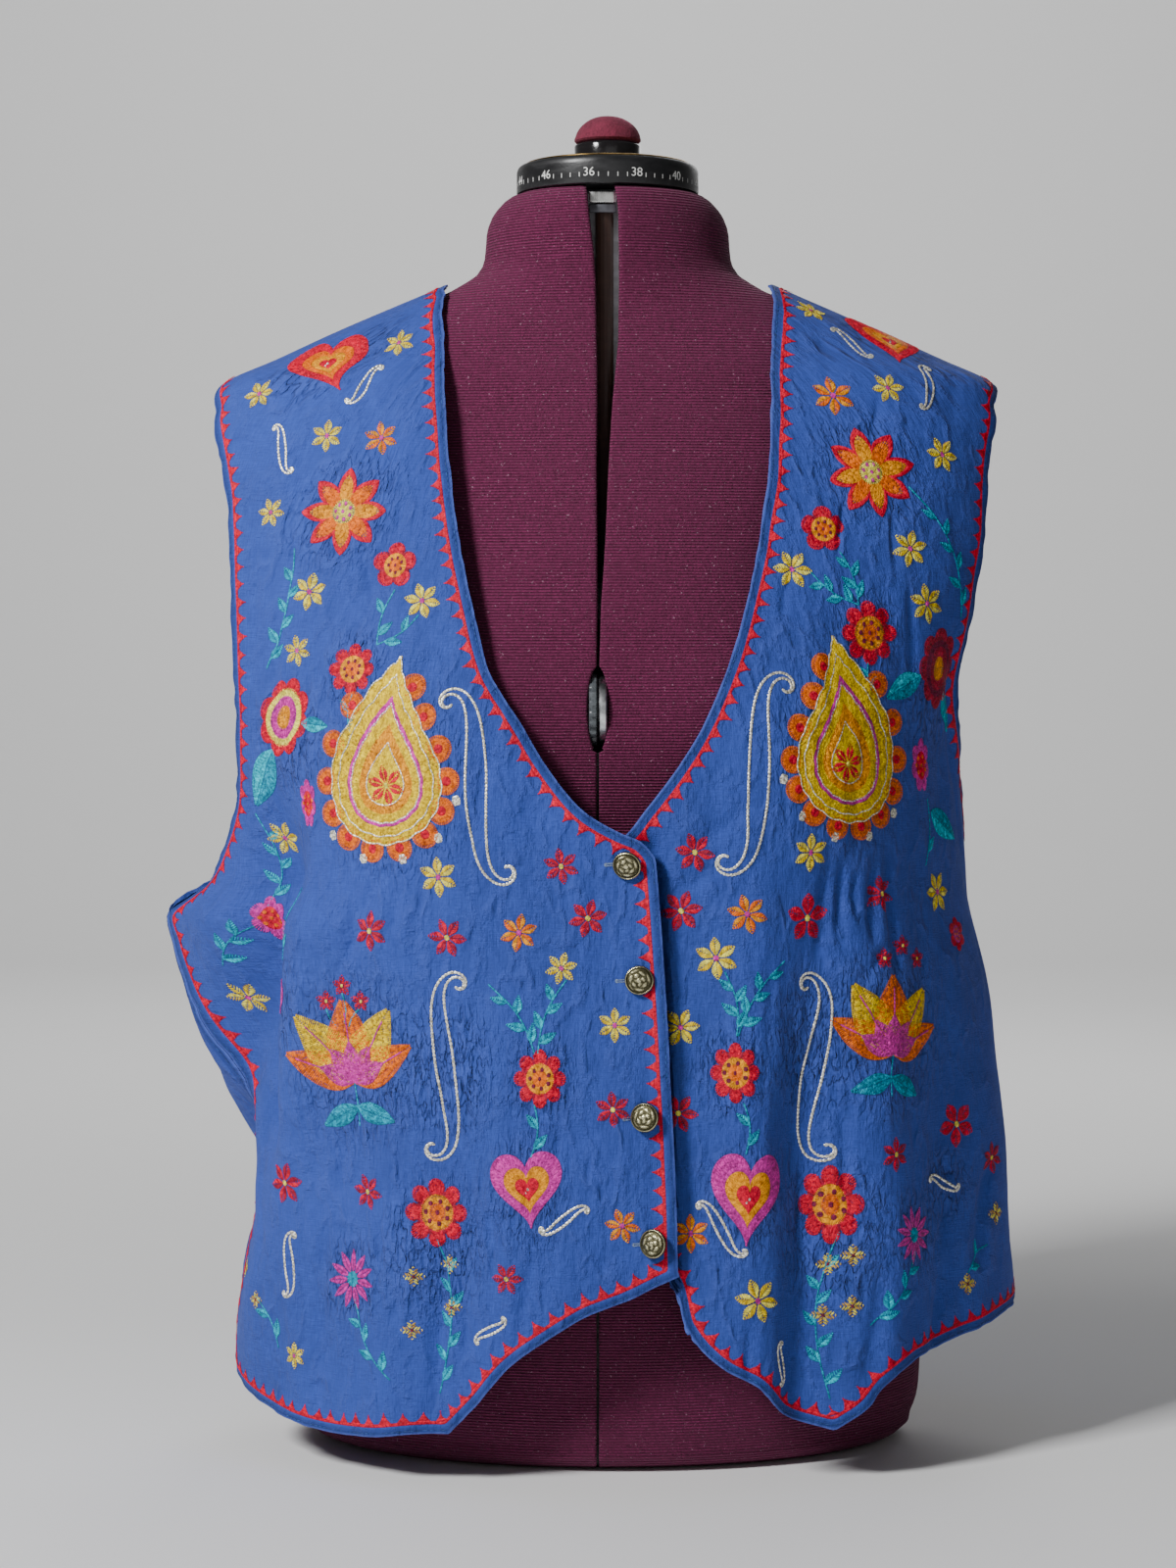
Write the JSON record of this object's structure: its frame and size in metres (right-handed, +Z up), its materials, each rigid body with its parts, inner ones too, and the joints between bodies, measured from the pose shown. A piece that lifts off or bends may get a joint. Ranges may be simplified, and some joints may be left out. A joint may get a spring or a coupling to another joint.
{
  "type": "embroidered vest on a dress form",
  "caption": "Sleeveless buttoned cotton vest with a deep neckline and pointed front hems, worn on a limbless adjustable dress form.",
  "frame": {"origin": "Under the middle of the form, on the floor that its flat underside rests on.", "axes": "+Z up, -Y is the way the vest's front faces, +X is towards the wearer's left."},
  "size_m": [0.4708, 0.2876, 0.7375],
  "materials": {
    "cloth": "plain-woven blue cotton",
    "knit": "fine ribbed maroon jersey",
    "black_plastic": "semi-gloss",
    "gold_trim": "polished",
    "old_brass": "antiqued, embossed",
    "pale_metal": "bright zinc",
    "velvet": "short velvet nap"
  },
  "bodies": {
    "root": {"front_right": "cloth", "front_left": "cloth", "back": "cloth", "button_1": "old_brass", "button_2": "old_brass", "button_3": "old_brass", "button_4": "old_brass", "form_torso": "knit", "form_dial": "black_plastic", "form_dial_plate": "gold_trim", "form_knob_collar": "black_plastic", "form_knob_cushion": "velvet", "form_post": "black_plastic", "form_bracket": "pale_metal", "form_wheel": "black_plastic"}
  },
  "joints": []
}
